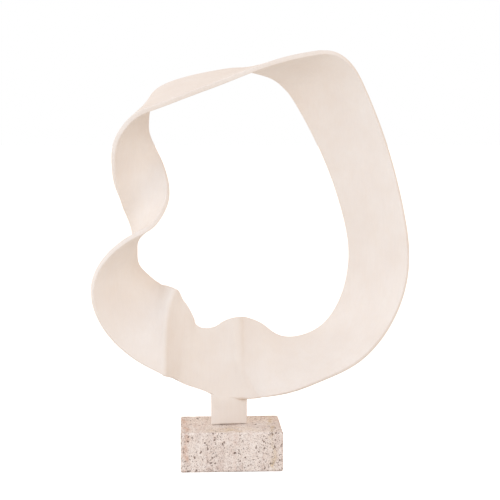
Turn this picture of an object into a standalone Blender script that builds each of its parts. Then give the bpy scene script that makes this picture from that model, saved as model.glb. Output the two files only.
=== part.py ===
"""Abstract sculpture: one metal band with a half twist, closed into a loop, on a travertine block.

Metres, +Z up, seen from -Y. The origin is the middle of the block's underside.
"""
import bpy
import numpy as np
from math import radians

# Driving sizes of the plinth
PLINTH_WIDTH = 0.130
PLINTH_DEPTH = 0.096
PLINTH_HEIGHT = 0.051
PLINTH_EDGE_RADIUS = 0.0022
PLINTH_EDGE_SEGMENTS = 3

# Driving sizes of the band. Its spine is the line along its middle.
SPINE_WIDTH = 0.337
SPINE_DEPTH = 0.030
SPINE_HEIGHT = 0.385
BAND_WIDTH = 0.088
BAND_THICKNESS = 0.006
BAND_EDGE_RADIUS = 0.0014

# The stem, a tab of the same sheet that runs down from the band's lower edge
STEM_WIDTH = 0.0465
STEM_LENGTH = 0.0350
STEM_OFFSET = -0.002
STEM_LAP = 0.012
STEM_FILLET = 0.005
FOOT_ARCH = 0.0010
SEAT_GAP = 0.0003

# The sharp fold left of the stem: how far it stands out, and how fast its two flanks fall back.
# In the part of the width next to the hole its crest leans along the band.
FOLD_STATION = "fold"
FOLD_HEIGHT = 0.026
FOLD_REACH_BEFORE = 0.030
FOLD_REACH_AFTER = 0.021
FOLD_LEAN = 0.0105
FOLD_LEAN_REACH = 0.016
FOLD_LEAN_SHARE = 0.625
FOLD_LEAN_POWER = 3.0

# The low ridge above the stem, upright in its upper half, slanting away and softening below. Past it
# the sheet steps back at the hole edge and forward at the lower edge, as if hinged along the ridge.
# A shallow crease runs down the slant.
RIDGE_STATION = "ridge"
RIDGE_HEIGHT = 0.0014
RIDGE_REACH = 0.004
RIDGE_OFFSET = -0.005
RIDGE_SLANT = 0.026
RIDGE_SLANT_POWER = 1.5
RIDGE_SOFTENING = 1.5
RIDGE_UPPER_SHARE = 0.5
STEP_DEPTH = 0.0045
STEP_REACH = 0.0020
STEP_GAP = 0.0075
STEP_FADE = 0.050
STEP_PIVOT = 0.35
CREASE_DEPTH = 0.0025
CREASE_REACH = 0.008

# The shallow scoop of the shoulder's inner face
SCOOP_STATION = "shoulder low"
SCOOP_DEPTH = 0.005
SCOOP_REACH = 0.060

# One lap of the band, counter-clockwise from the stem. Across, depth and rise place the spine and are
# drawn in millimetres, then stretched to the spine's sizes. Twist turns the band about its spine, in
# degrees: at 0 it faces the front, at 90 its hole side is the far side. Slant leans it along the
# spine. Width is a percentage of the band's width.
STATIONS = (
    ("stem", -1, 5, 5, 6, 3, 112),
    ("ridge", 13, 5, 7, 7, -2, 125),
    ("ridge right", 35, 5, 5, 12, -10, 116),
    ("low right", 54, 4, 0, 26, -13, 99),
    ("low right end", 76, 4, -2, 39, -6, 92),
    ("bowl", 109, 6, 5, 53, -6, 90),
    ("bowl side", 152, 7, 24, 53, -5, 101),
    ("right low", 184, 8, 72, 47, -2, 104),
    ("right", 197, 7, 126, 37, 5, 100),
    ("right middle", 192, 5, 176, 37, 7, 98),
    ("right high", 175, 5, 241, 32, 7, 99),
    ("right upper", 156, 7, 293, 28, 3, 101),
    ("corner low", 132, 7, 343, 27, 0, 105),
    ("corner", 113, 3, 375, 38, 12, 116),
    ("corner top", 84, -4, 383, 70, 18, 101),
    ("top right", 52, -10, 382, 84, 12, 98),
    ("crossing", 23, -13, 378, 96, 5, 101),
    ("top", -13, -14, 367, 101, -3, 101),
    ("top left", -57, -17, 355, 106, -7, 102),
    ("shoulder top", -96, -21, 339, 106, -10, 102),
    ("shoulder bend", -115, -22, 323, 84, -22, 103),
    ("shoulder", -126, -20, 290, 61, -19, 94),
    ("shoulder low", -119, -18, 262, 34, -15, 80),
    ("neck", -109, -20, 233, -13, -12, 72),
    ("neck low", -103, -22, 207, -47, -7, 95),
    ("waist", -105, -23, 179, -72, -19, 99),
    ("waist low", -118, -23, 163, -100, -16, 99),
    ("lobe top", -137, -21, 138, -114, -6, 100),
    ("lobe", -140, -18, 110, -138, -8, 110),
    ("lobe low", -126, -16, 77, -153, -3, 109),
    ("fold left", -98, -14, 55, -160, 11, 115),
    ("fold", -82, -11, 49, -163, 25, 131),
    ("fold right", -64, -6, 35, -165, 43, 114),
    ("valley left", -50, -1, 14, -169, 42, 97),
    ("valley", -31, 2, 4, -172, 22, 91),
    ("stem left", -15, 4, 2, -172, -7, 105),
)

# How finely the band is drawn, and the angles that stay sharp or take a rounded edge
RINGS_PER_STATION = 5
PANELS_ACROSS = 6
STEM_COLUMNS = 12
STEM_ROWS = 8
STEM_STATIONS = 2
SHARP_ANGLE = 35
EDGE_ANGLE = 50

# Surface finish from the photograph
PAINT_COLOUR = (0.86, 0.80, 0.74, 1.0)
PAINT_ROUGHNESS = 0.55
STONE_COLOUR = (0.62, 0.53, 0.46, 1.0)
STONE_ROUGHNESS = 0.85

MILLIMETRE = 0.001
PERCENT_SHARE = 0.01
HALF_TURN = 180.0
NUDGE_SHARE = 0.01
FRONT = np.array([0.0, -1.0, 0.0])
AWAY = np.array([0.0, 1.0, 0.0])
ACROSS = np.array([1.0, 0.0, 0.0])


def clear_scene():
    for item in list(bpy.data.objects):
        bpy.data.objects.remove(item, do_unlink=True)


def new_collection(name):
    collection = bpy.data.collections.new(name)
    bpy.context.scene.collection.children.link(collection)
    return collection


def principled(name, colour, roughness, metallic):
    material = bpy.data.materials.new(name)
    material.use_nodes = True
    shader = material.node_tree.nodes["Principled BSDF"]
    shader.inputs["Base Color"].default_value = colour
    shader.inputs["Roughness"].default_value = roughness
    shader.inputs["Metallic"].default_value = metallic
    return material


def mesh_object(name, points, faces, collection):
    mesh = bpy.data.meshes.new(name)
    mesh.from_pydata([tuple(point) for point in points], [], faces)
    mesh.validate()
    item = bpy.data.objects.new(name, mesh)
    collection.objects.link(item)
    return item


def smooth_by_angle(mesh, degrees):
    mesh.shade_smooth()
    mesh.set_sharp_from_angle(angle=radians(degrees))


def station_index(name):
    return [row[0] for row in STATIONS].index(name)


def unit(vectors):
    return vectors / np.linalg.norm(vectors, axis=-1, keepdims=True)


def stretched_stations():
    """The stations as rows of x, depth, rise, twist, slant and width, in metres and degrees."""
    rows = np.array([row[1:] for row in STATIONS], dtype=float)
    drawn = rows[:, :3] * MILLIMETRE
    span = drawn.max(axis=0) - drawn.min(axis=0)
    rows[:, :3] = drawn * np.array([SPINE_WIDTH, SPINE_DEPTH, SPINE_HEIGHT]) / span
    rows[:, 5] *= BAND_WIDTH * PERCENT_SHARE
    return rows


def read_course(laps):
    """Cubic B-spline through the stations' row. After one lap the band has turned over."""
    rows = stretched_stations()
    count = len(rows)
    first = np.floor(laps).astype(int)
    part = (laps - first)[:, None]
    weights = (
        (1 - part) ** 3,
        3 * part ** 3 - 6 * part ** 2 + 4,
        -3 * part ** 3 + 3 * part ** 2 + 3 * part + 1,
        part ** 3,
    )
    values = np.zeros((len(laps), rows.shape[1]))
    for step, weight in enumerate(weights):
        place = first + step - 1
        turns = place // count
        row = rows[place % count].copy()
        row[:, 3] -= HALF_TURN * turns
        row[:, 4] *= np.where(turns % 2 == 0, 1.0, -1.0)
        values += weight * row / 6.0
    return values


def rulings(laps):
    """Spine points, the direction across the band from its first edge, and the band's width."""
    here = read_course(laps)
    ahead = read_course(laps + NUDGE_SHARE)[:, :3] - read_course(laps - NUDGE_SHARE)[:, :3]
    along = unit(ahead)
    away = unit(AWAY - along * (along @ AWAY)[:, None])
    inward = np.cross(along, away)
    twist = np.radians(here[:, 3])[:, None]
    slant = np.radians(here[:, 4])[:, None]
    flat = np.cos(twist) * inward + np.sin(twist) * away
    across = np.cos(slant) * flat + np.sin(slant) * along
    return here[:, :3], across, here[:, 5]


def lap_distance(spine):
    """Distance of each ring along the spine from the stem, and the length of the whole lap."""
    steps = np.linalg.norm(np.roll(spine, -1, axis=0) - spine, axis=1)
    return np.concatenate([[0.0], np.cumsum(steps)[:-1]]), steps.sum()


def signed_gap(distance, place, length):
    """How far each ring lies past a place on the lap, the shorter way round."""
    return (distance - place + length / 2) % length - length / 2


def fold_push(distance, length, place):
    """The sharp fold: a crest with hollow flanks, the same all across the band."""
    gap = signed_gap(distance, place, length)
    reach = np.where(gap < 0, FOLD_REACH_BEFORE, FOLD_REACH_AFTER)
    return FOLD_HEIGHT * np.exp(-np.abs(gap) / reach)


def fold_slide(distance, length, place, share):
    """How far the fold's crest leans along the band towards its hole edge, where the share is 0."""
    gap = signed_gap(distance, place, length)
    upper = np.clip(1.0 - share / FOLD_LEAN_SHARE, 0.0, 1.0)
    return FOLD_LEAN * upper ** FOLD_LEAN_POWER * np.exp(-(gap / FOLD_LEAN_REACH) ** 2)


def ridge_push(distance, length, place, share):
    """The low ridge, the step beyond it and the crease along its slanting lower half."""
    below = np.clip(1.0 - share / RIDGE_UPPER_SHARE, 0.0, 1.0)
    softness = 1.0 + RIDGE_SOFTENING * below
    crest = place + RIDGE_OFFSET + RIDGE_SLANT * below ** RIDGE_SLANT_POWER
    gap = signed_gap(distance, crest, length)
    lip = RIDGE_HEIGHT * (1.0 - below) * np.exp(-np.abs(gap) / RIDGE_REACH)
    rise = 0.5 + 0.5 * np.tanh((gap - STEP_GAP) / (STEP_REACH * softness))
    step = rise * np.exp(-np.maximum(gap, 0.0) / STEP_FADE)
    crease = CREASE_DEPTH * below * np.exp(-np.abs(gap - STEP_GAP) / CREASE_REACH)
    return lip - crease - STEP_DEPTH * step * (share - STEP_PIVOT) / (1.0 - STEP_PIVOT)


def scoop_push(distance, length, place, share):
    """The shoulder's scoop: deepest along the spine, nothing at the edges."""
    gap = signed_gap(distance, place, length)
    return -SCOOP_DEPTH * np.exp(-(gap / SCOOP_REACH) ** 2) * (1.0 - (2.0 * share - 1.0) ** 2)


def shares_across():
    """Places across the band, from one edge to the other, with a narrow strip for each rounded edge."""
    strip = BAND_EDGE_RADIUS / BAND_WIDTH
    inner = np.linspace(strip, 1.0 - strip, PANELS_ACROSS + 1)
    return np.concatenate([[0.0], inner, [1.0]])


def middle_surface():
    """A grid of points halfway through the sheet: one row a ring, one column a share across."""
    rings = len(STATIONS) * RINGS_PER_STATION
    laps = np.arange(rings) / RINGS_PER_STATION
    spine, across, width = rulings(laps)
    distance, length = lap_distance(spine)
    shares = shares_across()
    reach = (shares[None, :] - 0.5) * width[:, None]
    grid = spine[:, None, :] + across[:, None, :] * reach[:, :, None]

    fold = distance[station_index(FOLD_STATION) * RINGS_PER_STATION]
    ridge = distance[station_index(RIDGE_STATION) * RINGS_PER_STATION]
    scoop = distance[station_index(SCOOP_STATION) * RINGS_PER_STATION]
    ring_distance, share = np.meshgrid(distance, shares, indexing="ij")
    push = fold_push(ring_distance, length, fold)
    push += ridge_push(ring_distance, length, ridge, share)
    push += scoop_push(ring_distance, length, scoop, share)
    grid += push[:, :, None] * FRONT
    grid += fold_slide(ring_distance, length, fold, share)[:, :, None] * ACROSS
    return grid


def surface_normals(grid):
    """Unit normals of the middle surface. The ring after the last is the first one, turned over."""
    after = np.concatenate([grid[1:], grid[:1, ::-1]])
    before = np.concatenate([grid[-1:, ::-1], grid[:-1]])
    along = after - before
    across = np.gradient(grid, axis=1)
    return unit(np.cross(along, across))


def lifted_grid():
    """The middle surface in its place over the plinth, its lower edge one stem's length up."""
    grid = middle_surface()
    grid[:, :, 0] += STEM_OFFSET
    foot = PLINTH_HEIGHT + SEAT_GAP + STEM_LENGTH
    grid[:, :, 2] += foot - grid[0, 0, 2]
    return grid


def band_mesh(grid, collection):
    """The closed skin round the sheet: front face, one edge, back face, other edge, ring after ring."""
    normal = surface_normals(grid)
    half = BAND_THICKNESS / 2
    lip = half - BAND_EDGE_RADIUS
    depth = np.full(grid.shape[1], half)
    depth[[0, -1]] = lip
    front = grid + normal * depth[None, :, None]
    back = grid - normal * depth[None, :, None]
    section = np.concatenate([front, back[:, ::-1]], axis=1)
    rings, around = section.shape[:2]
    points = section.reshape(-1, 3)

    faces = []
    for ring in range(rings):
        for step in range(around):
            following = (step + 1) % around
            if ring + 1 < rings:
                near, far = (ring + 1) * around + step, (ring + 1) * around + following
            else:
                near = (step + around // 2) % around
                far = (following + around // 2) % around
            faces.append((ring * around + step, near, far, ring * around + following))
    return mesh_object("ribbon", points, faces, collection)


def lower_edge(grid):
    """Readers of the band's lower edge by x near the stem: its y, its z and the sheet's lean there."""
    rings = STEM_STATIONS * RINGS_PER_STATION
    edge = np.concatenate([grid[-rings:, -1], grid[:rings, 0]])
    inner = np.concatenate([grid[-rings:, -2], grid[:rings, 1]])
    order = np.argsort(edge[:, 0])
    edge, rise = edge[order], (inner - edge)[order]
    lean = rise[:, 1] / rise[:, 2]

    def read(x):
        return (np.interp(x, edge[:, 0], edge[:, 1]), np.interp(x, edge[:, 0], edge[:, 2]),
                np.interp(x, edge[:, 0], lean))
    return read


def stem_sheet(grid, collection):
    """The stem: an upright sheet whose top is buried in the band, with a fillet in either corner."""
    read_edge = lower_edge(grid)
    stem_y = grid[0, 0, 1]
    foot_height = PLINTH_HEIGHT + SEAT_GAP
    columns = np.linspace(-1.0, 1.0, STEM_COLUMNS + 1)
    rows = np.linspace(0.0, 1.0, STEM_ROWS + 1)

    points = []
    for share in rows:
        for column in columns:
            straight = STEM_OFFSET + column * STEM_WIDTH / 2
            edge_y, edge_z, lean = read_edge(straight)
            arch = FOOT_ARCH * (1.0 - column ** 2) * (1.0 - share)
            height = foot_height + arch + share * (edge_z + STEM_LAP - foot_height)
            climb = np.clip(height - edge_z + STEM_FILLET, 0.0, STEM_FILLET)
            flare = STEM_FILLET - np.sqrt(STEM_FILLET ** 2 - climb ** 2)
            above = max(0.0, height - edge_z)
            buried = min(1.0, 2.0 * above / STEM_LAP)
            y = stem_y * (1.0 - buried) + (edge_y + lean * above) * buried
            points.append((straight + column * flare, y, height))

    count = STEM_COLUMNS + 1
    faces = [
        (level * count + step, level * count + step + 1, (level + 1) * count + step + 1,
         (level + 1) * count + step)
        for level in range(STEM_ROWS)
        for step in range(STEM_COLUMNS)
    ]
    stem = mesh_object("stem_sheet", points, faces, collection)
    sheet = stem.modifiers.new("sheet", "SOLIDIFY")
    sheet.thickness = BAND_THICKNESS
    sheet.offset = 0.0
    edges = stem.modifiers.new("edges", "BEVEL")
    edges.width = BAND_EDGE_RADIUS
    edges.segments = 1
    edges.limit_method = "ANGLE"
    edges.angle_limit = radians(EDGE_ANGLE)
    stem.hide_render = True
    stem.display_type = "WIRE"
    return stem


def build_ribbon(parts, cutters, paint):
    """The band and its stem as one casting."""
    grid = lifted_grid()
    ribbon = band_mesh(grid, parts)
    join = ribbon.modifiers.new("stem", "BOOLEAN")
    join.operation = "UNION"
    join.solver = "EXACT"
    join.object = stem_sheet(grid, cutters)
    smooth_by_angle(ribbon.data, SHARP_ANGLE)
    ribbon.data.materials.append(paint)
    return ribbon


def build_plinth(parts, stone):
    """The rectangular block with lightly rounded edges."""
    bpy.ops.mesh.primitive_cube_add(size=1.0, location=(0.0, 0.0, PLINTH_HEIGHT / 2))
    plinth = bpy.context.object
    plinth.name = "plinth"
    plinth.data.name = "plinth"
    plinth.scale = (PLINTH_WIDTH, PLINTH_DEPTH, PLINTH_HEIGHT)
    bpy.ops.object.transform_apply(location=False, rotation=False, scale=True)
    for collection in list(plinth.users_collection):
        collection.objects.unlink(plinth)
    parts.objects.link(plinth)
    edges = plinth.modifiers.new("edges", "BEVEL")
    edges.width = PLINTH_EDGE_RADIUS
    edges.segments = PLINTH_EDGE_SEGMENTS
    smooth_by_angle(plinth.data, SHARP_ANGLE)
    plinth.data.materials.append(stone)
    return plinth


def build():
    clear_scene()
    parts = new_collection("abstract_sculpture")
    cutters = new_collection("cutters")
    paint = principled("cream_paint", PAINT_COLOUR, PAINT_ROUGHNESS, 0.0)
    stone = principled("travertine", STONE_COLOUR, STONE_ROUGHNESS, 0.0)
    build_plinth(parts, stone)
    build_ribbon(parts, cutters, paint)


build()
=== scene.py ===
from math import pi

import bpy
import numpy as np
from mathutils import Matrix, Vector, kdtree, noise


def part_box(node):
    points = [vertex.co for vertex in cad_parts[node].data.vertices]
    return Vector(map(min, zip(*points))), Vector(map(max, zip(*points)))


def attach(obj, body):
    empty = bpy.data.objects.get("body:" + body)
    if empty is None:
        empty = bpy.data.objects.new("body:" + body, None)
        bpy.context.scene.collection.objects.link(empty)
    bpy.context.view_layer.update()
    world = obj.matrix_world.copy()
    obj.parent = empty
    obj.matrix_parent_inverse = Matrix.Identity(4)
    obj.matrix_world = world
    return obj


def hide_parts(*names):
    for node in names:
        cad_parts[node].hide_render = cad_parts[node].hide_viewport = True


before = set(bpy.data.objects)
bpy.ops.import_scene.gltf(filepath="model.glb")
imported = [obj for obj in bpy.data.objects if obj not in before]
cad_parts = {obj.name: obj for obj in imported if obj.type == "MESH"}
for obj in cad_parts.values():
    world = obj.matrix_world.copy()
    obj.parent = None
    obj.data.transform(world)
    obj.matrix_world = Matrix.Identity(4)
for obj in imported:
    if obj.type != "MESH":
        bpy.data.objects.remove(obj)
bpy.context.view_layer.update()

# Sizes of the plinth and the band, the same as in the part's source
PLINTH_LOW, PLINTH_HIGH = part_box("plinth")
RIBBON_LOW, RIBBON_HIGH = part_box("ribbon")
PLINTH_HEIGHT = 0.051
PLINTH_EDGE_RADIUS = 0.0022
SPINE_WIDTH = 0.337
SPINE_DEPTH = 0.030
SPINE_HEIGHT = 0.385
BAND_WIDTH = 0.088
BAND_THICKNESS = 0.006
STEM_WIDTH = 0.0465
STEM_LENGTH = 0.0350
STEM_OFFSET = -0.002
FOOT_ARCH = 0.0010
SEAT_GAP = 0.0003
FOLD_STATION = "fold"
FOLD_HEIGHT = 0.026
FOLD_REACH_BEFORE = 0.030
FOLD_REACH_AFTER = 0.021
FOLD_LEAN = 0.0105
FOLD_LEAN_REACH = 0.016
FOLD_LEAN_SHARE = 0.625
FOLD_LEAN_POWER = 3.0
RIDGE_STATION = "ridge"
RIDGE_HEIGHT = 0.0014
RIDGE_REACH = 0.004
RIDGE_OFFSET = -0.005
RIDGE_SLANT = 0.026
RIDGE_SLANT_POWER = 1.5
RIDGE_SOFTENING = 1.5
RIDGE_UPPER_SHARE = 0.5
STEP_DEPTH = 0.0045
STEP_REACH = 0.0029
STEP_GAP = 0.0075
STEP_FADE = 0.050
STEP_PIVOT = 0.35
CREASE_DEPTH = 0.0025
CREASE_REACH = 0.008
SCOOP_STATION = "shoulder low"
SCOOP_DEPTH = 0.005
SCOOP_REACH = 0.060

# One lap of the band, counter-clockwise from the stem: across, depth and rise of the spine, twist,
# slant, and width as a percentage
STATIONS = (
    ("stem", -1, 5, 5, 6, 3, 112),
    ("ridge", 13, 5, 7, 7, -2, 125),
    ("ridge right", 35, 5, 5, 12, -10, 116),
    ("low right", 54, 4, 0, 26, -13, 99),
    ("low right end", 76, 4, -2, 39, -6, 92),
    ("bowl", 109, 6, 5, 53, -6, 90),
    ("bowl side", 152, 7, 24, 53, -5, 101),
    ("right low", 184, 8, 72, 47, -2, 104),
    ("right", 197, 7, 126, 37, 5, 100),
    ("right middle", 192, 5, 176, 37, 7, 98),
    ("right high", 175, 5, 241, 32, 7, 99),
    ("right upper", 156, 7, 293, 28, 3, 101),
    ("corner low", 132, 7, 343, 27, 0, 105),
    ("corner", 113, 3, 375, 38, 12, 116),
    ("corner top", 84, -4, 383, 70, 18, 101),
    ("top right", 52, -10, 382, 84, 12, 98),
    ("crossing", 23, -13, 378, 96, 5, 101),
    ("top", -13, -14, 367, 101, -3, 101),
    ("top left", -57, -17, 355, 106, -7, 102),
    ("shoulder top", -96, -21, 339, 106, -10, 102),
    ("shoulder bend", -115, -22, 323, 84, -22, 103),
    ("shoulder", -126, -20, 290, 61, -19, 94),
    ("shoulder low", -119, -18, 262, 34, -15, 80),
    ("neck", -109, -20, 233, -13, -12, 72),
    ("neck low", -103, -22, 207, -47, -7, 95),
    ("waist", -105, -23, 179, -72, -19, 99),
    ("waist low", -118, -23, 163, -100, -16, 99),
    ("lobe top", -137, -21, 138, -114, -6, 100),
    ("lobe", -140, -18, 110, -138, -8, 110),
    ("lobe low", -126, -16, 77, -153, -3, 109),
    ("fold left", -98, -14, 55, -160, 11, 115),
    ("fold", -82, -11, 49, -163, 25, 131),
    ("fold right", -64, -6, 35, -165, 43, 114),
    ("valley left", -50, -1, 14, -169, 42, 97),
    ("valley", -31, 2, 4, -172, 22, 91),
    ("stem left", -15, 4, 2, -172, -7, 105),
)
LAP = len(STATIONS)

# How finely the sheet is drawn. The lap starts half way round, so that the stem is in one run of rings.
RINGS_PER_STATION = 24
PANELS_ACROSS = 42
EDGE_RADIUS = 0.0011
EDGE_ANGLES = (60, 30, 0, 0, -30, -60)
EDGE_POINTS = len(EDGE_ANGLES)
CREST_RADIUS = 0.0007
CREST_BACK = 0.0052
CREASE_SOFTENING = 0.0015
STEM_FILLET_LEFT = 0.0030
STEM_FILLET_RIGHT = 0.0006
STEM_LIP = 0.0044
STEM_LIP_START = 0.42
STEM_LIP_POWER = 1.6
STEM_BLEND = 0.020
STEM_SEARCH = 2.5
STEM_SIDES = (
    (STEM_OFFSET - STEM_WIDTH / 2, STEM_FILLET_LEFT, 1.0),
    (STEM_OFFSET + STEM_WIDTH / 2, STEM_FILLET_RIGHT, -1.0),
)
FILLET_ROWS = 6
STEM_ROWS = 26

# Paint, as seen in the photograph. The painted shade beside the ridge has reaches in metres, the share of
# the band's width at which it starts, and amounts. A spot of painted shadow under the band's edge beside the
# stem has a place across and up, a reach each way and an amount.
PAINT_LIGHT = (0.875, 0.825, 0.775)
PAINT_DARK = (0.845, 0.782, 0.725)
PAINT_WARM = (0.85, 0.775, 0.70)
PAINT_RUBBED = (0.62, 0.56, 0.50)
PAINTED_SHADE_COLOUR = (0.78, 0.69, 0.61)
BRUSHED_AMOUNT = 0.05
RUBBED_AMOUNT = 0.10
SHADE_AMOUNT = 0.45
SHADE_RIDGE = 0.0036
SHADE_SHIFT = 0.0016
SHADE_TAIL = 0.0105
SHADE_SLANT = 0.018
SHADE_START = 0.34
SHADE_RISE = 0.20
SHADE_ENDS = 4.0
SHADE_UPRIGHT_AMOUNT = 1.25
SHADE_SLANT_AMOUNT = 1.5
# Painted shadow under the band's lower edge beside the stem: its colour and its spots
PAINTED_SHADOW_COLOUR = (0.52, 0.36, 0.22)
PAINTED_SHADOW_SPOTS = (
    (0.0155, 0.0850, 0.0065, 0.0020, 0.60),
)
PINHOLE_SCALE = 38.0
PINHOLE_RARITY = 0.62
PINHOLE_COLOUR = (0.42, 0.33, 0.26)

# Stone, as seen in the photograph. A streak has a place across, a reach, an amount and a colour.
STONE_PINK = (0.82, 0.72, 0.66)
STONE_PALE = (0.89, 0.81, 0.75)
STONE_WHITE = (0.96, 0.91, 0.87)
STONE_TAN = (0.72, 0.60, 0.54)
STONE_SPECK = (0.46, 0.36, 0.31)
STONE_GRAIN = (0.36, 0.28, 0.24)
STONE_PIT = (0.27, 0.20, 0.165)
STONE_BOTTOM_DARK = (0.30, 0.23, 0.20)
STONE_STAIN = (0.72, 0.58, 0.38)
STAIN_CENTRE = (-0.004, -0.032)
STAIN_REACH = (0.028, 0.015)
STAIN_AMOUNT = 0.75
STONE_STREAKS = (
    (-0.0585, 0.0035, 0.65, (0.66, 0.40, 0.28)),
    (0.0050, 0.0045, 0.55, (0.62, 0.44, 0.37)),
    (0.0520, 0.0025, 0.60, (0.66, 0.50, 0.24)),
)
STREAK_SHIFT = 0.020
# Reaches of the painted highlight along the top front edge, up and down and then front to back
PAINTED_HIGHLIGHT_REACH = (0.0013, 0.0018)
# Reach of the darkening along the bottom edge
BOTTOM_DARK_REACH = 0.0011
STONE_GRID = 0.00072
STONE_WORN_EDGE = 0.0012
STONE_WORN_FACE = 0.00012
STONE_WEAR_SCALE = 140.0
POCK_SCALE = 300.0
POCK_AMOUNT = 0.85
GRAIN_SCALE = 820.0
GRAIN_AMOUNT = 0.60
PEPPER_SCALE = 600.0
PEPPER_AMOUNT = 0.80

# Pits in the stone, as real hollows in runs: their number, size and spread, how the beds gather them,
# how likely a run of one to four is, and how a run wanders, steps and shrinks
PIT_SEEDS = 3400
PIT_SEED = 11
PIT_RADIUS = 0.00062
PIT_SPREAD = 0.38
PIT_BED_SCALE = (60.0, 9.0, 9.0)
PIT_CHANCE = 0.55
PIT_BED_GAIN = 0.9
PIT_RUNS = (0.62, 0.22, 0.11, 0.05)
PIT_HEADING = (0.5, 1.0, 1.0)
PIT_DEPTHS = (0.7, 1.3)
PIT_SHRINKS = (0.7, 1.05)
PIT_STEP = 1.3
PIT_WANDER = 0.7
PIT_HOLLOW = 0.6
PIT_TINT = 0.5
UNDERSIDE = -0.5
FLAT_SIDE = 0.98

# Hand-worked surface: gentle swells and smaller dints, in metres
SWELL_SIZE = 0.055
SWELL_HEIGHT = 0.00035
DINT_SIZE = 0.014
DINT_HEIGHT = 0.00006
BOX_MARGIN = 0.00005

# Studio: a white floor, warm light from all round, a cool soft light from the upper left front, one from
# the front and one from the left. A lamp has a place, a size in metres, a power in watts and a colour.
FLOOR_SIZE = 80.0
FLOOR_COLOUR = (0.88, 0.88, 0.88, 1.0)
FLOOR_GLOW = 0.62
FLOOR_BOUNCE = (0.82, 0.81, 0.79, 1.0)
AMBIENT_COLOUR = (1.0, 0.862, 0.758, 1.0)
AMBIENT_STRENGTH = 0.90
LIGHT_AIM = (0.0, 0.0, 0.28)
LIGHTS = (
    ("key", (-1.7, -1.4, 2.1), 1.8, 14.2, (0.19, 0.58, 1.0)),
    ("front", (0.3, -2.5, 1.2), 2.0, 15.5, (0.74, 0.86, 1.0)),
    ("left", (-2.4, 0.2, 0.8), 2.0, 13.4, (1.0, 0.93, 0.88)),
)

# The photograph's camera: its place, how far it looks down and to the right in radians, and its lens
CAMERA_PLACE = (-0.0542, -1.594, 0.4277)
CAMERA_TILT = 0.0934
CAMERA_TURN = 0.0498
CAMERA_LENS = 89.8
CAMERA_SENSOR = 36.0
CAMERA_CLIP = 0.05

MILLIMETRE = 0.001
PERCENT = 100
HALF_TURN = 180.0
WHITE = (1.0, 1.0, 1.0, 1.0)
NUDGE = 0.01
FRONT = np.array([0.0, -1.0, 0.0])
AWAY = np.array([0.0, 1.0, 0.0])
ACROSS = np.array([1.0, 0.0, 0.0])


def unit(vectors):
    """The vectors scaled to a length of 1."""
    return vectors / np.linalg.norm(vectors, axis=-1, keepdims=True)


def station_index(name):
    """Which row of STATIONS has that name."""
    return [row[0] for row in STATIONS].index(name)


def stretched_stations():
    """The stations as rows of x, depth, rise, twist, slant and width, in metres and degrees."""
    rows = np.array([row[1:] for row in STATIONS], dtype=float)
    drawn = rows[:, :3] * MILLIMETRE
    span = drawn.max(axis=0) - drawn.min(axis=0)
    rows[:, :3] = drawn * np.array([SPINE_WIDTH, SPINE_DEPTH, SPINE_HEIGHT]) / span
    rows[:, 5] *= BAND_WIDTH / PERCENT
    return rows


ROWS = stretched_stations()


def read_course(laps):
    """Cubic B-spline through the stations' row. After one lap the band has turned over."""
    first = np.floor(laps).astype(int)
    part = (laps - first)[:, None]
    weights = (
        (1 - part) ** 3,
        3 * part ** 3 - 6 * part ** 2 + 4,
        -3 * part ** 3 + 3 * part ** 2 + 3 * part + 1,
        part ** 3,
    )
    values = np.zeros((len(laps), ROWS.shape[1]))
    for step, weight in enumerate(weights):
        place = first + step - 1
        turns = place // LAP
        row = ROWS[place % LAP].copy()
        row[:, 3] -= HALF_TURN * turns
        row[:, 4] *= np.where(turns % 2 == 0, 1.0, -1.0)
        values += weight * row / 6.0
    return values


def rulings(laps):
    """Spine points, the direction across the band from its first edge, and the band's width."""
    here = read_course(laps)
    along = unit(read_course(laps + NUDGE)[:, :3] - read_course(laps - NUDGE)[:, :3])
    away = unit(AWAY - along * (along @ AWAY)[:, None])
    inward = np.cross(along, away)
    twist = np.radians(here[:, 3])[:, None]
    slant = np.radians(here[:, 4])[:, None]
    flat = np.cos(twist) * inward + np.sin(twist) * away
    across = np.cos(slant) * flat + np.sin(slant) * along
    return here[:, :3], across, here[:, 5]


def distance_table():
    """The laps of all rings, and how far along the spine each one lies."""
    laps = np.arange(LAP * RINGS_PER_STATION + 1) / RINGS_PER_STATION
    spine = read_course(laps)[:, :3]
    steps = np.linalg.norm(np.diff(spine, axis=0), axis=1)
    return laps, np.concatenate([[0.0], np.cumsum(steps)])


TABLE_LAPS, TABLE_DISTANCE = distance_table()
LENGTH = TABLE_DISTANCE[-1]


def distance_at(laps):
    """How far along the spine those laps lie."""
    return np.interp(laps % LAP, TABLE_LAPS, TABLE_DISTANCE)


def gap_from(distance, station):
    """How far past a station a distance lies, the shorter way round."""
    place = distance_at(np.array([float(station_index(station))]))[0]
    return (distance - place + LENGTH / 2) % LENGTH - LENGTH / 2


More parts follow.
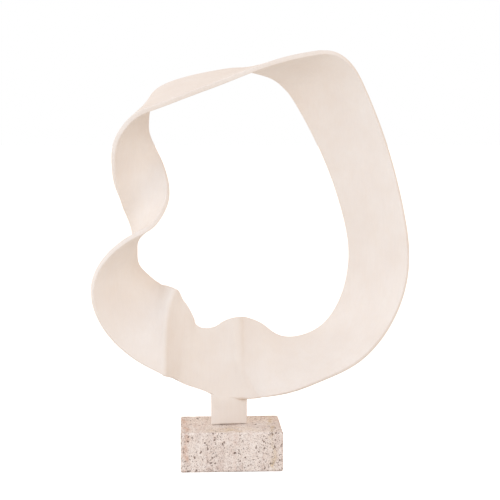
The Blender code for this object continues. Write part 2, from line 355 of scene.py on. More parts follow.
def surface_push(distance, share, back):
    """How far the named features move the sheet to the front, and to the right. The share across runs
    from the edge that the stem hangs from; back is 0 on the front face, where the crests are sharp, and
    1 on the back face, where they are filled."""
    gap = gap_from(distance, FOLD_STATION)
    filled = CREST_RADIUS + (CREST_BACK - CREST_RADIUS) * back
    rounded = np.sqrt(gap ** 2 + filled ** 2)
    after = 0.5 + 0.5 * gap / rounded
    reach = FOLD_REACH_BEFORE * (1.0 - after) + FOLD_REACH_AFTER * after
    soft = rounded - CREST_RADIUS
    front = FOLD_HEIGHT * np.exp(-soft / reach)
    upper = np.clip(1.0 - (1.0 - share) / FOLD_LEAN_SHARE, 0.0, 1.0)
    right = FOLD_LEAN * upper ** FOLD_LEAN_POWER * np.exp(-(gap / FOLD_LEAN_REACH) ** 2)

    below = np.clip(1.0 - share / RIDGE_UPPER_SHARE, 0.0, 1.0)
    softness = 1.0 + RIDGE_SOFTENING * below
    crest = RIDGE_OFFSET + RIDGE_SLANT * below ** RIDGE_SLANT_POWER
    gap = gap_from(distance - crest, RIDGE_STATION)
    soft = np.sqrt(gap ** 2 + filled ** 2)
    lip = RIDGE_HEIGHT * (1.0 - below) * np.exp(-soft / RIDGE_REACH)
    rise = 0.5 + 0.5 * np.tanh((gap - STEP_GAP) / (STEP_REACH * softness))
    step = rise * np.exp(-np.maximum(gap, 0.0) / STEP_FADE)
    bottom = np.sqrt((gap - STEP_GAP) ** 2 + CREASE_SOFTENING ** 2)
    front -= CREASE_DEPTH * below * np.exp(-bottom / CREASE_REACH)
    front += lip - STEP_DEPTH * step * (share - STEP_PIVOT) / (1.0 - STEP_PIVOT)

    gap = gap_from(distance, SCOOP_STATION)
    front -= SCOOP_DEPTH * np.exp(-(gap / SCOOP_REACH) ** 2) * (1.0 - (2.0 * share - 1.0) ** 2)
    return front, right


def shade_at(distance, share):
    """Painted shade: how much darker the paint is made down the ridge, and left of the slanting crease under
    it.
    """
    below = np.clip(1.0 - share / RIDGE_UPPER_SHARE, 0.0, 1.0)
    crest = RIDGE_OFFSET + RIDGE_SLANT * below ** RIDGE_SLANT_POWER
    gap = gap_from(distance - crest, RIDGE_STATION) - STEP_GAP
    past = gap - SHADE_SHIFT
    rising = np.exp(-(past / SHADE_RIDGE) ** 2)
    falling = np.exp(-np.maximum(past, 0.0) / SHADE_TAIL)
    upright = np.clip((share - SHADE_START) / SHADE_RISE, 0.0, 1.0) * np.where(past < 0.0, rising, falling)
    upright = upright * (np.abs(past) < SHADE_ENDS * SHADE_TAIL)
    slanting = below ** 0.5 * np.exp(np.minimum(gap, 0.0) / SHADE_SLANT) / (1.0 + np.exp(gap / EDGE_RADIUS))
    slanting = slanting * (np.abs(gap) < SHADE_ENDS * SHADE_SLANT)
    return SHADE_UPRIGHT_AMOUNT * upright + SHADE_SLANT_AMOUNT * slanting


def painted_shadow_at(points):
    """Painted shadow in the corner beside the stem, under the band's lower edge."""
    painted_shadow = np.zeros(len(points))
    for x, z, reach_x, reach_z, amount in PAINTED_SHADOW_SPOTS:
        spread = ((points[:, 0] - x) / reach_x) ** 2 + ((points[:, 2] - z) / reach_z) ** 2
        painted_shadow = np.maximum(painted_shadow, amount * np.exp(-spread))
    return painted_shadow


def middle_at(laps, inset, back=0.0):
    """Points halfway through the sheet: a row a ring, a column an inset from the first edge."""
    spine, across, width = rulings(laps)
    share = inset / width[:, None]
    reach = inset - width[:, None] / 2
    points = spine[:, None, :] + across[:, None, :] * reach[:, :, None]
    distance = np.broadcast_to(distance_at(laps)[:, None], share.shape)
    front, right = surface_push(distance, share, back)
    points = points + front[:, :, None] * FRONT + right[:, :, None] * ACROSS
    points[:, :, 0] += STEM_OFFSET
    return points


def edge_profile():
    """Inset and height over the middle surface of the rounded edge's points, from front to back."""
    angles = np.radians(EDGE_ANGLES)
    inset = EDGE_RADIUS * (1.0 - np.cos(angles))
    flat = BAND_THICKNESS / 2 - EDGE_RADIUS
    sign = np.where(np.arange(EDGE_POINTS) < EDGE_POINTS // 2, 1.0, -1.0)
    return inset, sign * flat + EDGE_RADIUS * np.sin(angles)


def surface_normals(laps, inset, back):
    """Which way the front face looks at each of those points."""
    along = middle_at(laps + NUDGE, inset, back) - middle_at(laps - NUDGE, inset, back)
    small = BAND_THICKNESS * NUDGE
    across = middle_at(laps, inset + small, back) - middle_at(laps, inset - small, back)
    return unit(np.cross(along, across))


def foot_shift():
    """What lifts the drawn band so that its lower edge is one stem's length over the foot."""
    low = middle_at(np.array([0.0]), np.array([[0.0]]))[0, 0, 2]
    return PLINTH_HEIGHT + SEAT_GAP + STEM_LENGTH - low


def stem_corner(laps, side, radius, sign):
    """Where one side of the stem leaves the band's lower edge: the lap, and the edge's slope there."""
    edge = middle_at(laps, np.zeros((len(laps), 1)))[:, 0]
    near = np.nonzero(np.abs(laps) < STEM_SEARCH)[0]
    slopes = -sign * np.gradient(edge[near, 2], edge[near, 0])
    slope = np.arctan(np.interp(side, edge[near, 0], slopes))
    start = side - sign * radius * (1.0 - np.sin(slope))
    return np.interp(start, edge[near, 0], laps[near]), slope


def stem_corners(laps):
    """Ring and slope of the lower edge at each side of the stem. Moves those rings to the exact laps."""
    found = []
    for side, radius, sign in STEM_SIDES:
        lap, slope = stem_corner(laps, side, radius, sign)
        found.append((int(np.argmin(np.abs(laps - lap))), lap, slope))
    for ring, lap, slope in found:
        laps[ring] = lap
    return [(ring, slope) for ring, lap, slope in found]


def section_layout(width):
    """Inset and rise of the points round the sheet: the front face, the far edge, the back face and
    the near edge, from which the stem hangs. A row of insets for each ring."""
    edge_inset, edge_rise = edge_profile()
    shares = np.linspace(0.0, 1.0, PANELS_ACROSS + 1)
    flat = EDGE_RADIUS + shares[None, :] * (width - 2 * EDGE_RADIUS)
    near = np.broadcast_to(edge_inset[::-1][None, :], (len(width), EDGE_POINTS))
    inset = np.concatenate([flat, width - edge_inset[None, :], flat[:, ::-1], near], axis=1)
    face = np.full(len(shares), BAND_THICKNESS / 2)
    return inset, np.concatenate([face, edge_rise, -face, edge_rise[::-1]])


def quads(grid, turned=False):
    """Faces between the rows and columns of a grid of point numbers."""
    a, b = grid[:-1, :-1].ravel(), grid[1:, :-1].ravel()
    c, d = grid[1:, 1:].ravel(), grid[:-1, 1:].ravel()
    return np.stack([a, d, c, b] if turned else [a, b, c, d], axis=1)


def loop_faces(rings, around, left, right):
    """Faces from ring to ring, open where the stem hangs. The last ring meets the first turned over."""
    ring = np.arange(rings - 1)
    clear = ring[(ring < left) | (ring >= right)]
    faces = []
    for step in range(around):
        following = (step + 1) % around
        near = clear if step >= around - EDGE_POINTS - 1 else ring
        faces.append(np.stack([
            near * around + step, (near + 1) * around + step,
            (near + 1) * around + following, near * around + following,
        ], axis=1))
    half, last = around // 2, (rings - 1) * around
    step = np.arange(around)
    following = (step + 1) % around
    seam = [last + step, (step + half) % around, (following + half) % around, last + following]
    return faces + [np.stack(seam, axis=1)]


def rim_marks(count, rings, around):
    """1 at the points of the rounded edges, which come last in the stem, and 0 elsewhere."""
    rim = np.zeros(count)
    flat = PANELS_ACROSS + 1
    columns = np.concatenate([np.arange(flat, flat + EDGE_POINTS), np.arange(around - EDGE_POINTS, around)])
    rim[(np.arange(rings)[:, None] * around + columns).ravel()] = 1.0
    rim[-2 * STEM_ROWS * EDGE_POINTS:] = 1.0
    return rim


def ribbon_geometry():
    """Points and faces of the whole skin, the band's loop of rings and the stem that runs down from it,
    and the rim mark and the painted shade of each point."""
    rings = LAP * RINGS_PER_STATION
    laps = np.arange(rings) / RINGS_PER_STATION - LAP / 2
    corners = stem_corners(laps)
    left, right = corners[0][0], corners[1][0]
    width = rulings(laps)[2][:, None]
    inset, rise = section_layout(width)
    back = (BAND_THICKNESS / 2 - rise) / BAND_THICKNESS
    middle = middle_at(laps, inset, back)
    middle[:, :, 2] += foot_shift()
    normal = surface_normals(laps, inset, back)
    section = middle + normal * rise[None, :, None]
    stem_points, stem_faces = stem_geometry(middle, normal, corners)
    points = np.concatenate([section.reshape(-1, 3), stem_points])
    faces = np.concatenate(loop_faces(rings, len(rise), left, right) + stem_faces)

    rim = rim_marks(len(points), rings, len(rise))
    # Painted shade down the ridge and beside the slanting crease; the stem takes the painted shade of the
    # band's lower edge above it
    band = shade_at(np.broadcast_to(distance_at(laps)[:, None], inset.shape), inset / width)
    edge_x = middle[left:right + 1, 0, 0]
    order = np.argsort(edge_x)
    tones = np.interp(stem_points[:, 0], edge_x[order], band[left:right + 1, 0][order])
    shade = np.concatenate([band.ravel(), tones])

    used = np.unique(faces)
    place = np.zeros(len(points), dtype=int)
    place[used] = np.arange(len(used))
    return points[used], place[faces], rim[used], shade[used]


def down_to_foot(rows, foot):
    """The fillet's rows of heights, followed by the straight rows down to the foot."""
    straight = STEM_ROWS + 1 - FILLET_ROWS
    run = np.arange(1, straight + 1)[:, None] / straight
    return np.concatenate([rows, rows[-1:] * (1.0 - run) + foot * run])


def stem_side(edge, slope, radius, sign, inset):
    """Places of the points with that inset down one side of the stem: round the fillet, then straight."""
    turn = np.linspace(slope, pi / 2, FILLET_ROWS)[:, None]
    reach = radius + inset[None, :]
    x = edge[0] - sign * radius * np.sin(slope) + sign * reach * np.sin(turn)
    z = edge[2] - radius * np.cos(slope) + reach * np.cos(turn)
    x = np.concatenate([x, np.repeat(x[-1:], STEM_ROWS + 1 - FILLET_ROWS, axis=0)])
    return x, down_to_foot(z, PLINTH_HEIGHT + SEAT_GAP)


def stem_rows(top, top_normal, sides, stem_y):
    """Rows of points halfway through the stem, from the band's edge to the foot, and which way they face."""
    (left_x, left_z), (right_x, right_z) = sides
    share = (top[:, 0] - top[0, 0]) / (top[-1, 0] - top[0, 0])
    x = left_x[:, :1] * (1.0 - share) + right_x[:, :1] * share
    drop = (left_z[0, 0] - left_z[:, :1]) * (1.0 - share) + (right_z[0, 0] - right_z[:, :1]) * share
    foot = PLINTH_HEIGHT + SEAT_GAP + FOOT_ARCH * (1.0 - (2.0 * share - 1.0) ** 2)
    z = down_to_foot((top[:, 2] - drop)[:FILLET_ROWS], foot)
    x[0], z[0] = top[:, 0], top[:, 2]

    down = top[:, 2] - z
    blend = STEM_BLEND * (1.0 - share ** 3) + EDGE_RADIUS * share ** 3
    settle = np.clip(down / blend, 0.0, 1.0)
    settle = settle * settle * (3.0 - 2.0 * settle)
    lean = top_normal[:, 2] / top_normal[:, 1]
    y = (top[:, 1] + lean * down) * (1.0 - settle) + stem_y * settle
    lip = STEM_LIP * np.clip((share - STEM_LIP_START) / (1.0 - STEM_LIP_START), 0.0, 1.0) ** STEM_LIP_POWER
    y += lip * np.clip((down - EDGE_RADIUS * 0.5) / EDGE_RADIUS, 0.0, 1.0)
    facing = unit(top_normal * (1.0 - settle[:, :, None]) + FRONT * settle[:, :, None])
    return np.stack([x, y, z], axis=2), facing


def stem_geometry(middle, normal, corners):
    """The stem: the band's front and back faces carried on down to the foot, its sides and its base."""
    rings, around = middle.shape[:2]
    half = BAND_THICKNESS / 2
    edge_inset, edge_rise = edge_profile()
    inset = np.concatenate([[EDGE_RADIUS], edge_inset])
    outer = middle[:, around - EDGE_POINTS + EDGE_POINTS // 2]
    sides = [stem_side(outer[ring], slope, radius, sign, inset)
             for (ring, slope), (_, radius, sign) in zip(corners, STEM_SIDES)]
    span = np.arange(corners[0][0], corners[1][0] + 1)
    stem_y = np.interp(0.0, outer[span, 0], outer[span, 1])
    rows, facing = stem_rows(middle[span, 0], normal[span, 0], sides, stem_y)

    points = [(rows + facing * half)[1:].reshape(-1, 3), (rows - facing * half)[1:].reshape(-1, 3)]
    index = around * rings
    size = STEM_ROWS * len(span)
    front = np.concatenate([[span * around], (index + np.arange(size)).reshape(STEM_ROWS, -1)])
    index += size
    back_column = around - EDGE_POINTS - 1
    back = np.concatenate([[span * around + back_column], (index + np.arange(size)).reshape(STEM_ROWS, -1)])
    index += size
    faces = [quads(front), quads(back, turned=True), quads(np.stack([front[-1], back[-1]]))]

    size = STEM_ROWS * EDGE_POINTS
    for column, (ring, _), (x, z), turned in zip((0, -1), corners, sides, (True, False)):
        y = np.repeat(rows[:, column, 1:2], EDGE_POINTS, axis=1)
        spots = np.stack([x[:, 1:], y, z[:, 1:]], axis=2)
        spots = spots + facing[:, column, None, :] * edge_rise[None, :, None]
        points.append(spots[1:].reshape(-1, 3))
        own = np.concatenate([
            [ring * around + around - 1 - np.arange(EDGE_POINTS)],
            (index + np.arange(size)).reshape(STEM_ROWS, -1),
        ])
        index += size
        grid = np.concatenate([front[:, column][:, None], own, back[:, column][:, None]], axis=1)
        low, halfway = grid[-1], grid.shape[1] // 2
        base = np.stack([low[:halfway], low[::-1][:halfway]])
        faces += [quads(grid, turned), quads(base, turned)]
    return np.concatenate(points), faces


def swell(points):
    """Small hand-worked unevenness at each point, in metres."""
    values = np.empty(len(points))
    for index, point in enumerate(points):
        place = Vector(point)
        values[index] = (
            SWELL_HEIGHT * noise.noise(place / SWELL_SIZE) + DINT_HEIGHT * noise.noise(place / DINT_SIZE)
        )
    return values


def mesh_object(name, points, faces):
    """A smooth object of those points and faces, linked to the scene."""
    mesh = bpy.data.meshes.new(name)
    mesh.from_pydata(points.tolist(), [], faces.tolist())
    mesh.validate()
    mesh.shade_smooth()
    item = bpy.data.objects.new(name, mesh)
    bpy.context.scene.collection.objects.link(item)
    return item


def keep_inside(points, low, high):
    """The points, held a small margin inside the box of the CAD piece."""
    return np.clip(points, np.array(low) + BOX_MARGIN, np.array(high) - BOX_MARGIN)


def mark_points(item, name, values):
    """Stores a value at each point, for the material to read."""
    layer = item.data.attributes.new(name, "FLOAT", "POINT")
    layer.data.foreach_set("value", values.astype(np.float32))


def build_ribbon(material):
    """The band with its stem, its surface swelling a little, in place of the CAD ribbon."""
    points, faces, rim, shade = ribbon_geometry()
    ribbon = mesh_object("ribbon_sheet", points, faces)
    normals = np.empty(len(points) * 3)
    ribbon.data.vertex_normals.foreach_get("vector", normals)
    points = points + normals.reshape(-1, 3) * swell(points)[:, None]
    points[:, 2] = np.maximum(points[:, 2], PLINTH_HEIGHT + SEAT_GAP)
    points = keep_inside(points, RIBBON_LOW, RIBBON_HIGH)
    ribbon.data.vertices.foreach_set("co", points.astype(np.float32).ravel())
    ribbon.data.update()
    # The rim mark, the painted shade beside the ridge and the painted shadow beside the stem, for the paint
    # to read
    for name, values in (("rim", rim), ("shade", shade), ("painted_shadow", painted_shadow_at(points))):
        mark_points(ribbon, name, values)
    ribbon.data.materials.append(material)
    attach(ribbon, "root")
    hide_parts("ribbon")


def new_material(name, roughness):
    """A node material, its node tree and its Principled shader."""
    material = bpy.data.materials.new(name)
    material.use_nodes = True
    tree = material.node_tree
    shader = tree.nodes["Principled BSDF"]
    shader.inputs["Roughness"].default_value = roughness
    return material, tree, shader


def node(tree, kind, **values):
    """A new shader node. Values named in_ go to its inputs, the others to its settings."""
    made = tree.nodes.new("ShaderNode" + kind)
    for key, value in values.items():
        if key.startswith("in_"):
            made.inputs[key[3:].replace("_", " ")].default_value = value
        else:
            setattr(made, key, value)
    return made


def place_in(tree, scale):
    """Object coordinates stretched by a factor along each axis."""
    coordinates = node(tree, "TexCoord")
    mapping = node(tree, "Mapping", in_Scale=scale)
    tree.links.new(coordinates.outputs["Object"], mapping.inputs["Vector"])
    return mapping.outputs["Vector"]


def noise_of(tree, scale, detail=2.0, stretch=(1.0, 1.0, 1.0), distortion=0.0):
    """A noise from 0 to 1 with that many lumps a metre."""
    texture = node(tree, "TexNoise", in_Scale=scale, in_Detail=detail, in_Distortion=distortion)
    tree.links.new(place_in(tree, stretch), texture.inputs["Vector"])
    return texture.outputs["Fac"]


def ramp(tree, source, stops):
    """A colour that runs through stops of (value of the source, colour)."""
    made = node(tree, "ValToRGB")
    while len(made.color_ramp.elements) < len(stops):
        made.color_ramp.elements.new(0.5)
    for element, (place, colour) in zip(made.color_ramp.elements, stops):
        element.position = place
        element.color = (*colour, 1.0)
    tree.links.new(source, made.inputs["Fac"])
    return made.outputs["Color"]


def fade(tree, source, start, end):
    """An amount that runs from one (value of the source, amount) to another and is level outside them."""
    return ramp(tree, source, [(place, (amount, amount, amount)) for place, amount in (start, end)])


def mix_colour(tree, factor, first, second, blend="MIX"):
    """The first colour with a share of the second."""
    made = node(tree, "Mix", data_type="RGBA", blend_type=blend)
    for socket, value in ((made.inputs[0], factor), (made.inputs[6], first), (made.inputs[7], second)):
        if isinstance(value, bpy.types.NodeSocket):
            tree.links.new(value, socket)
        elif isinstance(value, tuple):
            socket.default_value = (*value, 1.0)
        else:
            socket.default_value = value
    return made.outputs[2]


def arithmetic(tree, operation, first, second):
    """One operation on two values, each a number or a socket."""
    made = node(tree, "Math", operation=operation)
    for socket, value in ((made.inputs[0], first), (made.inputs[1], second)):
        if isinstance(value, bpy.types.NodeSocket):
            tree.links.new(value, socket)
        else:
            socket.default_value = value
    return made.outputs[0]


def times(tree, first, second):
    """Two values multiplied."""
    return arithmetic(tree, "MULTIPLY", first, second)


def bumps(tree, shader, layers):
    """Stacks bump layers of (height, distance in metres) on the shader's normal."""
    normal = None
    for height, distance in layers:
        bump = node(tree, "Bump", in_Strength=1.0, in_Distance=distance)
        tree.links.new(height, bump.inputs["Height"])
        if normal is not None:
            tree.links.new(normal, bump.inputs["Normal"])
        normal = bump.outputs["Normal"]
    tree.links.new(normal, shader.inputs["Normal"])


def attribute_of(tree, name):
    """A value that mark_points has stored."""
    return node(tree, "Attribute", attribute_name=name).outputs["Fac"]


def pinholes(tree):
    """1 in the middle of some cells, 0 elsewhere."""
    cells = node(tree, "TexVoronoi", feature="F1", in_Scale=PINHOLE_SCALE)
    tree.links.new(place_in(tree, (1.0, 1.0, 1.0)), cells.inputs["Vector"])
    hole = fade(tree, cells.outputs["Distance"], (0.010, 1.0), (0.020, 0.0))
    rare = node(tree, "SeparateColor")
    tree.links.new(cells.outputs["Color"], rare.inputs["Color"])
    return times(tree, hole, arithmetic(tree, "GREATER_THAN", rare.outputs["Red"], PINHOLE_RARITY))


def paint_material():
    """Matte cream paint over cast metal: cloudy, faintly brushed, with a few pinholes and rubbed edges, and
    with painted shade beside the ridge and painted shadow beside the stem.
    """
    material, tree, shader = new_material("cream_paint_look", roughness=0.55)
    clouds = noise_of(tree, scale=26.0, detail=3.0)
    streaks = noise_of(tree, scale=420.0, stretch=(1.0, 1.0, 0.09))
    patches = noise_of(tree, scale=110.0, stretch=(1.0, 1.0, 0.6))
    base = ramp(tree, clouds, ((0.30, PAINT_DARK), (0.70, PAINT_LIGHT)))
    base = mix_colour(tree, fade(tree, patches, (0.42, 0.0), (0.72, 0.35)), base, PAINT_WARM)
    brushed = fade(tree, streaks, (0.25, 0.55), (0.75, 1.0))
    base = mix_colour(tree, BRUSHED_AMOUNT, base, brushed, "MULTIPLY")
    hole = pinholes(tree)
    base = mix_colour(tree, hole, base, PINHOLE_COLOUR)

    worn = fade(tree, noise_of(tree, scale=160.0, detail=3.0), (0.50, 0.0), (0.62, 1.0))
    rubbed = times(tree, attribute_of(tree, "rim"), worn)
    base = mix_colour(tree, times(tree, rubbed, RUBBED_AMOUNT), base, PAINT_RUBBED)
    # Painted shade beside the ridge and left of the slanting crease
    base = mix_colour(tree, times(tree, attribute_of(tree, "shade"), SHADE_AMOUNT), base, PAINTED_SHADE_COLOUR)
    # Painted shadow under the band's lower edge, in the corner beside the stem
    base = mix_colour(tree, attribute_of(tree, "painted_shadow"), base, PAINTED_SHADOW_COLOUR)
    tree.links.new(base, shader.inputs["Base Color"])

    rough = fade(tree, noise_of(tree, scale=60.0, detail=4.0), (0.3, 0.48), (0.7, 0.64))
    tree.links.new(rough, shader.inputs["Roughness"])
    shader.inputs["Specular IOR Level"].default_value = 0.35
    grain = noise_of(tree, scale=1500.0)
    raised = arithmetic(tree, "SUBTRACT", 1.0, hole)
    bumps(tree, shader, ((streaks, 0.000025), (grain, 0.000008), (raised, 0.0004)))
    return material


def wobbled(tree, scale, amount):
    """Object coordinates pushed about by a noise, in metres."""
    coordinates = node(tree, "TexCoord").outputs["Object"]
    texture = node(tree, "TexNoise", in_Scale=scale, in_Detail=2.0)
    tree.links.new(coordinates, texture.inputs["Vector"])
    centred = node(tree, "VectorMath", operation="SUBTRACT")
    tree.links.new(texture.outputs["Color"], centred.inputs[0])
    centred.inputs[1].default_value = (0.5, 0.5, 0.5)
    scaled = node(tree, "VectorMath", operation="SCALE", in_Scale=amount)
    tree.links.new(centred.outputs["Vector"], scaled.inputs[0])
    moved = node(tree, "VectorMath", operation="ADD")
    tree.links.new(coordinates, moved.inputs[0])
    tree.links.new(scaled.outputs["Vector"], moved.inputs[1])
    return moved.outputs["Vector"]


def dots(tree, place, scale, near, far):
    """Scattered spots: 1 within the near distance of a cell's centre, 0 past the far one."""
    cells = node(tree, "TexVoronoi", feature="F1", in_Scale=scale)
    tree.links.new(place, cells.inputs["Vector"])
    return fade(tree, cells.outputs["Distance"], (near, 1.0), (far, 0.0))


def bell(tree, value, centre, reach):
    """A smooth hump of 1 at the centre."""
    gap = arithmetic(tree, "DIVIDE", arithmetic(tree, "SUBTRACT", value, centre), reach)
    return arithmetic(tree, "EXPONENT", times(tree, times(tree, gap, gap), -1.0), 0.0)


def streaked(tree, base, split, broken):
    """The stone's colour with its upright streaks, the stain on its top and a painted highlight along its
    top front edge.
    """
    warp = noise_of(tree, scale=55.0, detail=3.0)
    shift = times(tree, arithmetic(tree, "SUBTRACT", warp, 0.5), STREAK_SHIFT)
    across = arithmetic(tree, "ADD", split.outputs["X"], shift)
    for centre, reach, strength, colour in STONE_STREAKS:
        streak = times(tree, bell(tree, across, centre, reach), broken)
        base = mix_colour(tree, times(tree, streak, strength), base, colour)
    stain = times(tree, bell(tree, across, STAIN_CENTRE[0], STAIN_REACH[0]),
                  bell(tree, split.outputs["Y"], STAIN_CENTRE[1], STAIN_REACH[1]))
    upper = arithmetic(tree, "GREATER_THAN", split.outputs["Z"], PLINTH_HEIGHT - MILLIMETRE)
    stain = times(tree, times(tree, stain, upper), broken)
    base = mix_colour(tree, times(tree, stain, STAIN_AMOUNT), base, STONE_STAIN)
    # Painted highlight where the rounded top front edge catches the light
    edge = times(tree, bell(tree, split.outputs["Z"], PLINTH_HEIGHT, PAINTED_HIGHLIGHT_REACH[0]),
                 bell(tree, split.outputs["Y"], PLINTH_LOW[1], PAINTED_HIGHLIGHT_REACH[1]))
    return mix_colour(tree, times(tree, edge, broken), base, STONE_WHITE)


def stone_material():
    """Pinkish beige travertine with upright beds, rusty streaks, and pits darker than the face."""
    material, tree, shader = new_material("travertine_look", roughness=0.85)
    beds = noise_of(tree, scale=1.0, detail=4.0, stretch=(95.0, 20.0, 16.0), distortion=0.6)
    base = ramp(tree, beds, ((0.30, STONE_TAN), (0.45, STONE_PINK), (0.60, STONE_PALE), (0.75, STONE_PINK)))
    clouds = noise_of(tree, scale=160.0, detail=4.0)
    base = mix_colour(tree, fade(tree, clouds, (0.45, 0.0), (0.70, 0.6)), base, STONE_WHITE)
    split = node(tree, "SeparateXYZ")
    tree.links.new(node(tree, "TexCoord").outputs["Object"], split.inputs["Vector"])
    broken = fade(tree, noise_of(tree, scale=90.0, detail=4.0), (0.38, 0.1), (0.62, 1.0))
    base = streaked(tree, base, split, broken)

    place = wobbled(tree, scale=260.0, amount=0.0022)
    pocks = dots(tree, place, POCK_SCALE, near=0.11, far=0.20)
    grains = dots(tree, place, GRAIN_SCALE, near=0.16, far=0.32)
    pepper = dots(tree, wobbled(tree, scale=430.0, amount=0.0016), PEPPER_SCALE, near=0.17, far=0.32)
    flecks = noise_of(tree, scale=480.0, detail=3.0)
    speck = noise_of(tree, scale=700.0, detail=3.0)
    base = mix_colour(tree, fade(tree, flecks, (0.55, 0.0), (0.68, 0.75)), base, STONE_WHITE)
    base = mix_colour(tree, times(tree, grains, GRAIN_AMOUNT), base, STONE_SPECK)
    base = mix_colour(tree, times(tree, pocks, POCK_AMOUNT), base, STONE_PIT)
    base = mix_colour(tree, times(tree, pepper, PEPPER_AMOUNT), base, STONE_GRAIN)
    base = mix_colour(tree, fade(tree, speck, (0.56, 0.0), (0.68, 0.55)), base, STONE_SPECK)
    base = mix_colour(tree, fade(tree, attribute_of(tree, "pit"), (0.10, 0.0), (0.65, 0.9)), base, STONE_PIT)
    # Darker along the bottom edge of the block
    bottom_dark = times(tree, bell(tree, split.outputs["Z"], 0.0, BOTTOM_DARK_REACH), broken)
    base = mix_colour(tree, bottom_dark, base, STONE_BOTTOM_DARK)
    tree.links.new(base, shader.inputs["Base Color"])

    tree.links.new(fade(tree, clouds, (0.3, 0.70), (0.7, 0.92)), shader.inputs["Roughness"])
    shader.inputs["Specular IOR Level"].default_value = 0.3
    raised = arithmetic(tree, "SUBTRACT", 1.0, arithmetic(tree, "MAXIMUM", pocks, grains))
    grit = noise_of(tree, scale=2600.0)
    bumps(tree, shader, ((raised, 0.0003), (speck, -0.00020), (grit, 0.00006)))
    return material


def plinth_lattice():
    """Points and faces of the block on a fine lattice, its edges rounded, and the way out at each point."""
    low, high = np.array(PLINTH_LOW), np.array(PLINTH_HIGH)
    counts = np.round((high - low) / STONE_GRID).astype(int)
    spots, faces = [], []
    start = 0
    for axis in range(3):
        first, second = (axis + 1) % 3, (axis + 2) % 3
        for end in (0, 1):
            rows, columns = np.meshgrid(
                np.arange(counts[first] + 1), np.arange(counts[second] + 1), indexing="ij")
            spot = np.zeros((*rows.shape, 3), dtype=int)
            spot[..., axis] = counts[axis] * end
            spot[..., first] = rows
            spot[..., second] = columns
            index = start + np.arange(rows.size).reshape(rows.shape)
            a, b, c, d = index[:-1, :-1], index[1:, :-1], index[1:, 1:], index[:-1, 1:]
            order = (a, b, c, d) if end else (a, d, c, b)
            faces.append(np.stack([part.ravel() for part in order], axis=1))
            spots.append(spot.reshape(-1, 3))
            start += rows.size
    spots = np.concatenate(spots)
    whole, place = np.unique(spots, axis=0, return_inverse=True)
    points = low + (high - low) * whole / counts
    inner = np.clip(points, low + PLINTH_EDGE_RADIUS, high - PLINTH_EDGE_RADIUS)
    way = unit(points - inner)
    return inner + way * PLINTH_EDGE_RADIUS, place.ravel()[np.concatenate(faces)], way


def pit_spots(points, way, chance):
    """Centres, radii and depths of the stone's pits: short runs of holes, thicker along some beds."""
    shown = np.nonzero(way[:, 2] > UNDERSIDE)[0]
    for seed in chance.choice(shown, size=PIT_SEEDS, replace=False):
        bed = noise.noise(Vector(points[seed] * np.array(PIT_BED_SCALE)))
        if chance.random() > PIT_CHANCE + PIT_BED_GAIN * bed:
            continue
        place, size = points[seed].copy(), PIT_RADIUS * float(chance.lognormal(0.0, PIT_SPREAD))
        heading = chance.normal(size=3) * np.array(PIT_HEADING)
        for link in range(int(chance.choice(len(PIT_RUNS), p=PIT_RUNS)) + 1):
            yield place.copy(), size, size * float(chance.uniform(*PIT_DEPTHS))
            heading = heading + chance.normal(size=3) * PIT_WANDER
            place = place + heading / np.linalg.norm(heading) * size * PIT_STEP
            size = size * float(chance.uniform(*PIT_SHRINKS))


def pit_depths(points, way):
    """How deep the pits reach at each point, and how far inside a pit it lies, from 0 to 1."""
    tree = kdtree.KDTree(len(points))
    for index, point in enumerate(points):
        tree.insert(point, index)
    tree.balance()
    depth = np.zeros(len(points))
    pit = np.zeros(len(points))
    for place, radius, deep in pit_spots(points, way, np.random.default_rng(PIT_SEED)):
        for spot, index, distance in tree.find_range(Vector(place), radius):
            inside = 1.0 - (distance / radius) ** 2
            depth[index] = max(depth[index], deep * inside ** PIT_HOLLOW)
            pit[index] = max(pit[index], inside ** PIT_TINT)
    return depth, pit


def build_plinth(material):
    """The travertine block with worn edges and real pits, in place of the CAD plinth."""
    points, faces, way = plinth_lattice()
    depth, pit = pit_depths(points, way)
    uneven = np.array([noise.noise(Vector(point) * STONE_WEAR_SCALE) for point in points])
    rounded = np.abs(way).max(axis=1) < FLAT_SIDE
    depth += np.where(rounded, STONE_WORN_EDGE, STONE_WORN_FACE) * np.clip(uneven, 0.0, 1.0)
    depth[way[:, 2] < UNDERSIDE] = 0.0
    points = keep_inside(points - way * depth[:, None], PLINTH_LOW, PLINTH_HIGH)
    block = mesh_object("travertine_block", points, faces)
    mark_points(block, "pit", pit)
    block.data.materials.append(material)
    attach(block, "root")
    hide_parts("plinth")


def two_looks(tree, seen, cast, output):
    """One shader for what the camera sees directly, and another for the light that is cast."""
    path = node(tree, "LightPath")
    mix = node(tree, "MixShader")
    tree.links.new(path.outputs["Is Camera Ray"], mix.inputs["Fac"])
    tree.links.new(cast, mix.inputs[1])
    tree.links.new(seen, mix.inputs[2])
    tree.links.new(mix.outputs["Shader"], tree.nodes[output].inputs["Surface"])


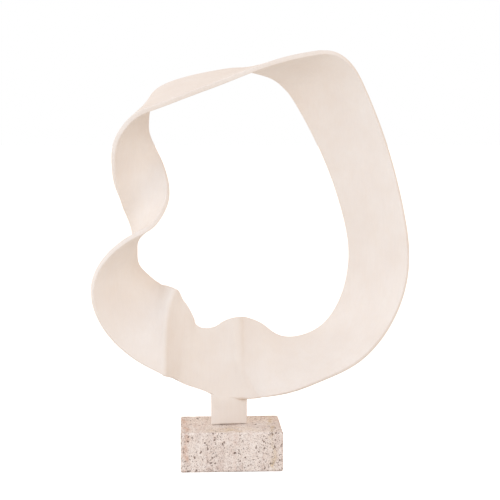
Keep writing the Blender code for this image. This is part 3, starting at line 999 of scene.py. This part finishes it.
def build_floor():
    """A wide white floor that takes shadows and throws back less light than it shows."""
    bpy.ops.mesh.primitive_plane_add(size=FLOOR_SIZE, location=(0.0, 0.0, 0.0))
    floor = bpy.context.object
    floor.name = "floor"
    material, tree, shader = new_material("floor_white", roughness=0.9)
    shader.inputs["Base Color"].default_value = FLOOR_COLOUR
    shader.inputs["Specular IOR Level"].default_value = 0.0
    shader.inputs["Emission Color"].default_value = WHITE
    shader.inputs["Emission Strength"].default_value = FLOOR_GLOW
    dim = node(tree, "BsdfDiffuse", in_Color=FLOOR_BOUNCE)
    two_looks(tree, shader.outputs["BSDF"], dim.outputs["BSDF"], "Material Output")
    floor.data.materials.append(material)


def build_world():
    """A white backdrop and warm light from all round."""
    world = bpy.data.worlds.new("studio")
    world.use_nodes = True
    tree = world.node_tree
    ambient = tree.nodes["Background"]
    ambient.inputs["Color"].default_value = AMBIENT_COLOUR
    ambient.inputs["Strength"].default_value = AMBIENT_STRENGTH
    backdrop = node(tree, "Background", in_Color=WHITE, in_Strength=1.0)
    two_looks(tree, backdrop.outputs["Background"], ambient.outputs["Background"], "World Output")
    bpy.context.scene.world = world
    bpy.context.scene.view_settings.view_transform = "Standard"


def build_lights():
    """Soft square lamps, all turned to the middle of the sculpture."""
    for name, place, size, power, colour in LIGHTS:
        light = bpy.data.lights.new(name, "AREA")
        light.shape = "SQUARE"
        light.size = size
        light.energy = power
        light.color = colour
        lamp = bpy.data.objects.new(name, light)
        lamp.location = place
        lamp.rotation_euler = (Vector(LIGHT_AIM) - lamp.location).to_track_quat("-Z", "Y").to_euler()
        bpy.context.scene.collection.objects.link(lamp)


def build_camera():
    """The photograph's camera."""
    camera = bpy.data.cameras.new("camera")
    camera.lens = CAMERA_LENS
    camera.sensor_width = CAMERA_SENSOR
    camera.clip_start = CAMERA_CLIP
    item = bpy.data.objects.new("camera", camera)
    item.location = CAMERA_PLACE
    item.rotation_euler = (pi / 2 - CAMERA_TILT, 0.0, -CAMERA_TURN)
    bpy.context.scene.collection.objects.link(item)
    bpy.context.scene.camera = item


build_ribbon(paint_material())
build_plinth(stone_material())
build_floor()
build_world()
build_lights()
build_camera()
